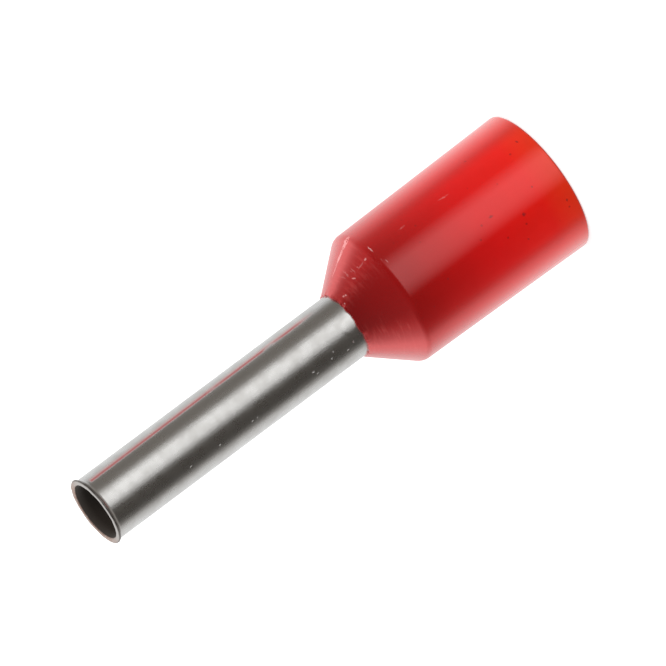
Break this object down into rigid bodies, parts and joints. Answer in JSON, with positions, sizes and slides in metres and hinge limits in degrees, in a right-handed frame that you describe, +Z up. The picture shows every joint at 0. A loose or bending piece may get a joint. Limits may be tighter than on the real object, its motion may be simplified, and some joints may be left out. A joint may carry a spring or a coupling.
{
  "type": "insulated wire ferrule",
  "caption": "Insulated wire ferrule: a thin tinned copper sleeve with a flared tip, held in the conical nose of a red moulded plastic collar that takes the wire's insulation.",
  "frame": {"origin": "centre of the collar's open entry rim, on the surface that the ferrule stands on", "axes": "+Z up along the ferrule's axis, from the wire entry to the sleeve's tip; the part is round about Z, so X and Y are equal"},
  "size_m": [0.0038, 0.0038, 0.014],
  "materials": {
    "tinned_copper": "satin tin plate over copper, finely drawn, with the bare copper showing at the cut edge of the tip",
    "red_plastic": "glossy, slightly translucent red polypropylene with fine scuffs"
  },
  "bodies": {
    "root": {"metal_sleeve": "tinned_copper", "insulating_collar": "red_plastic"}
  },
  "joints": []
}
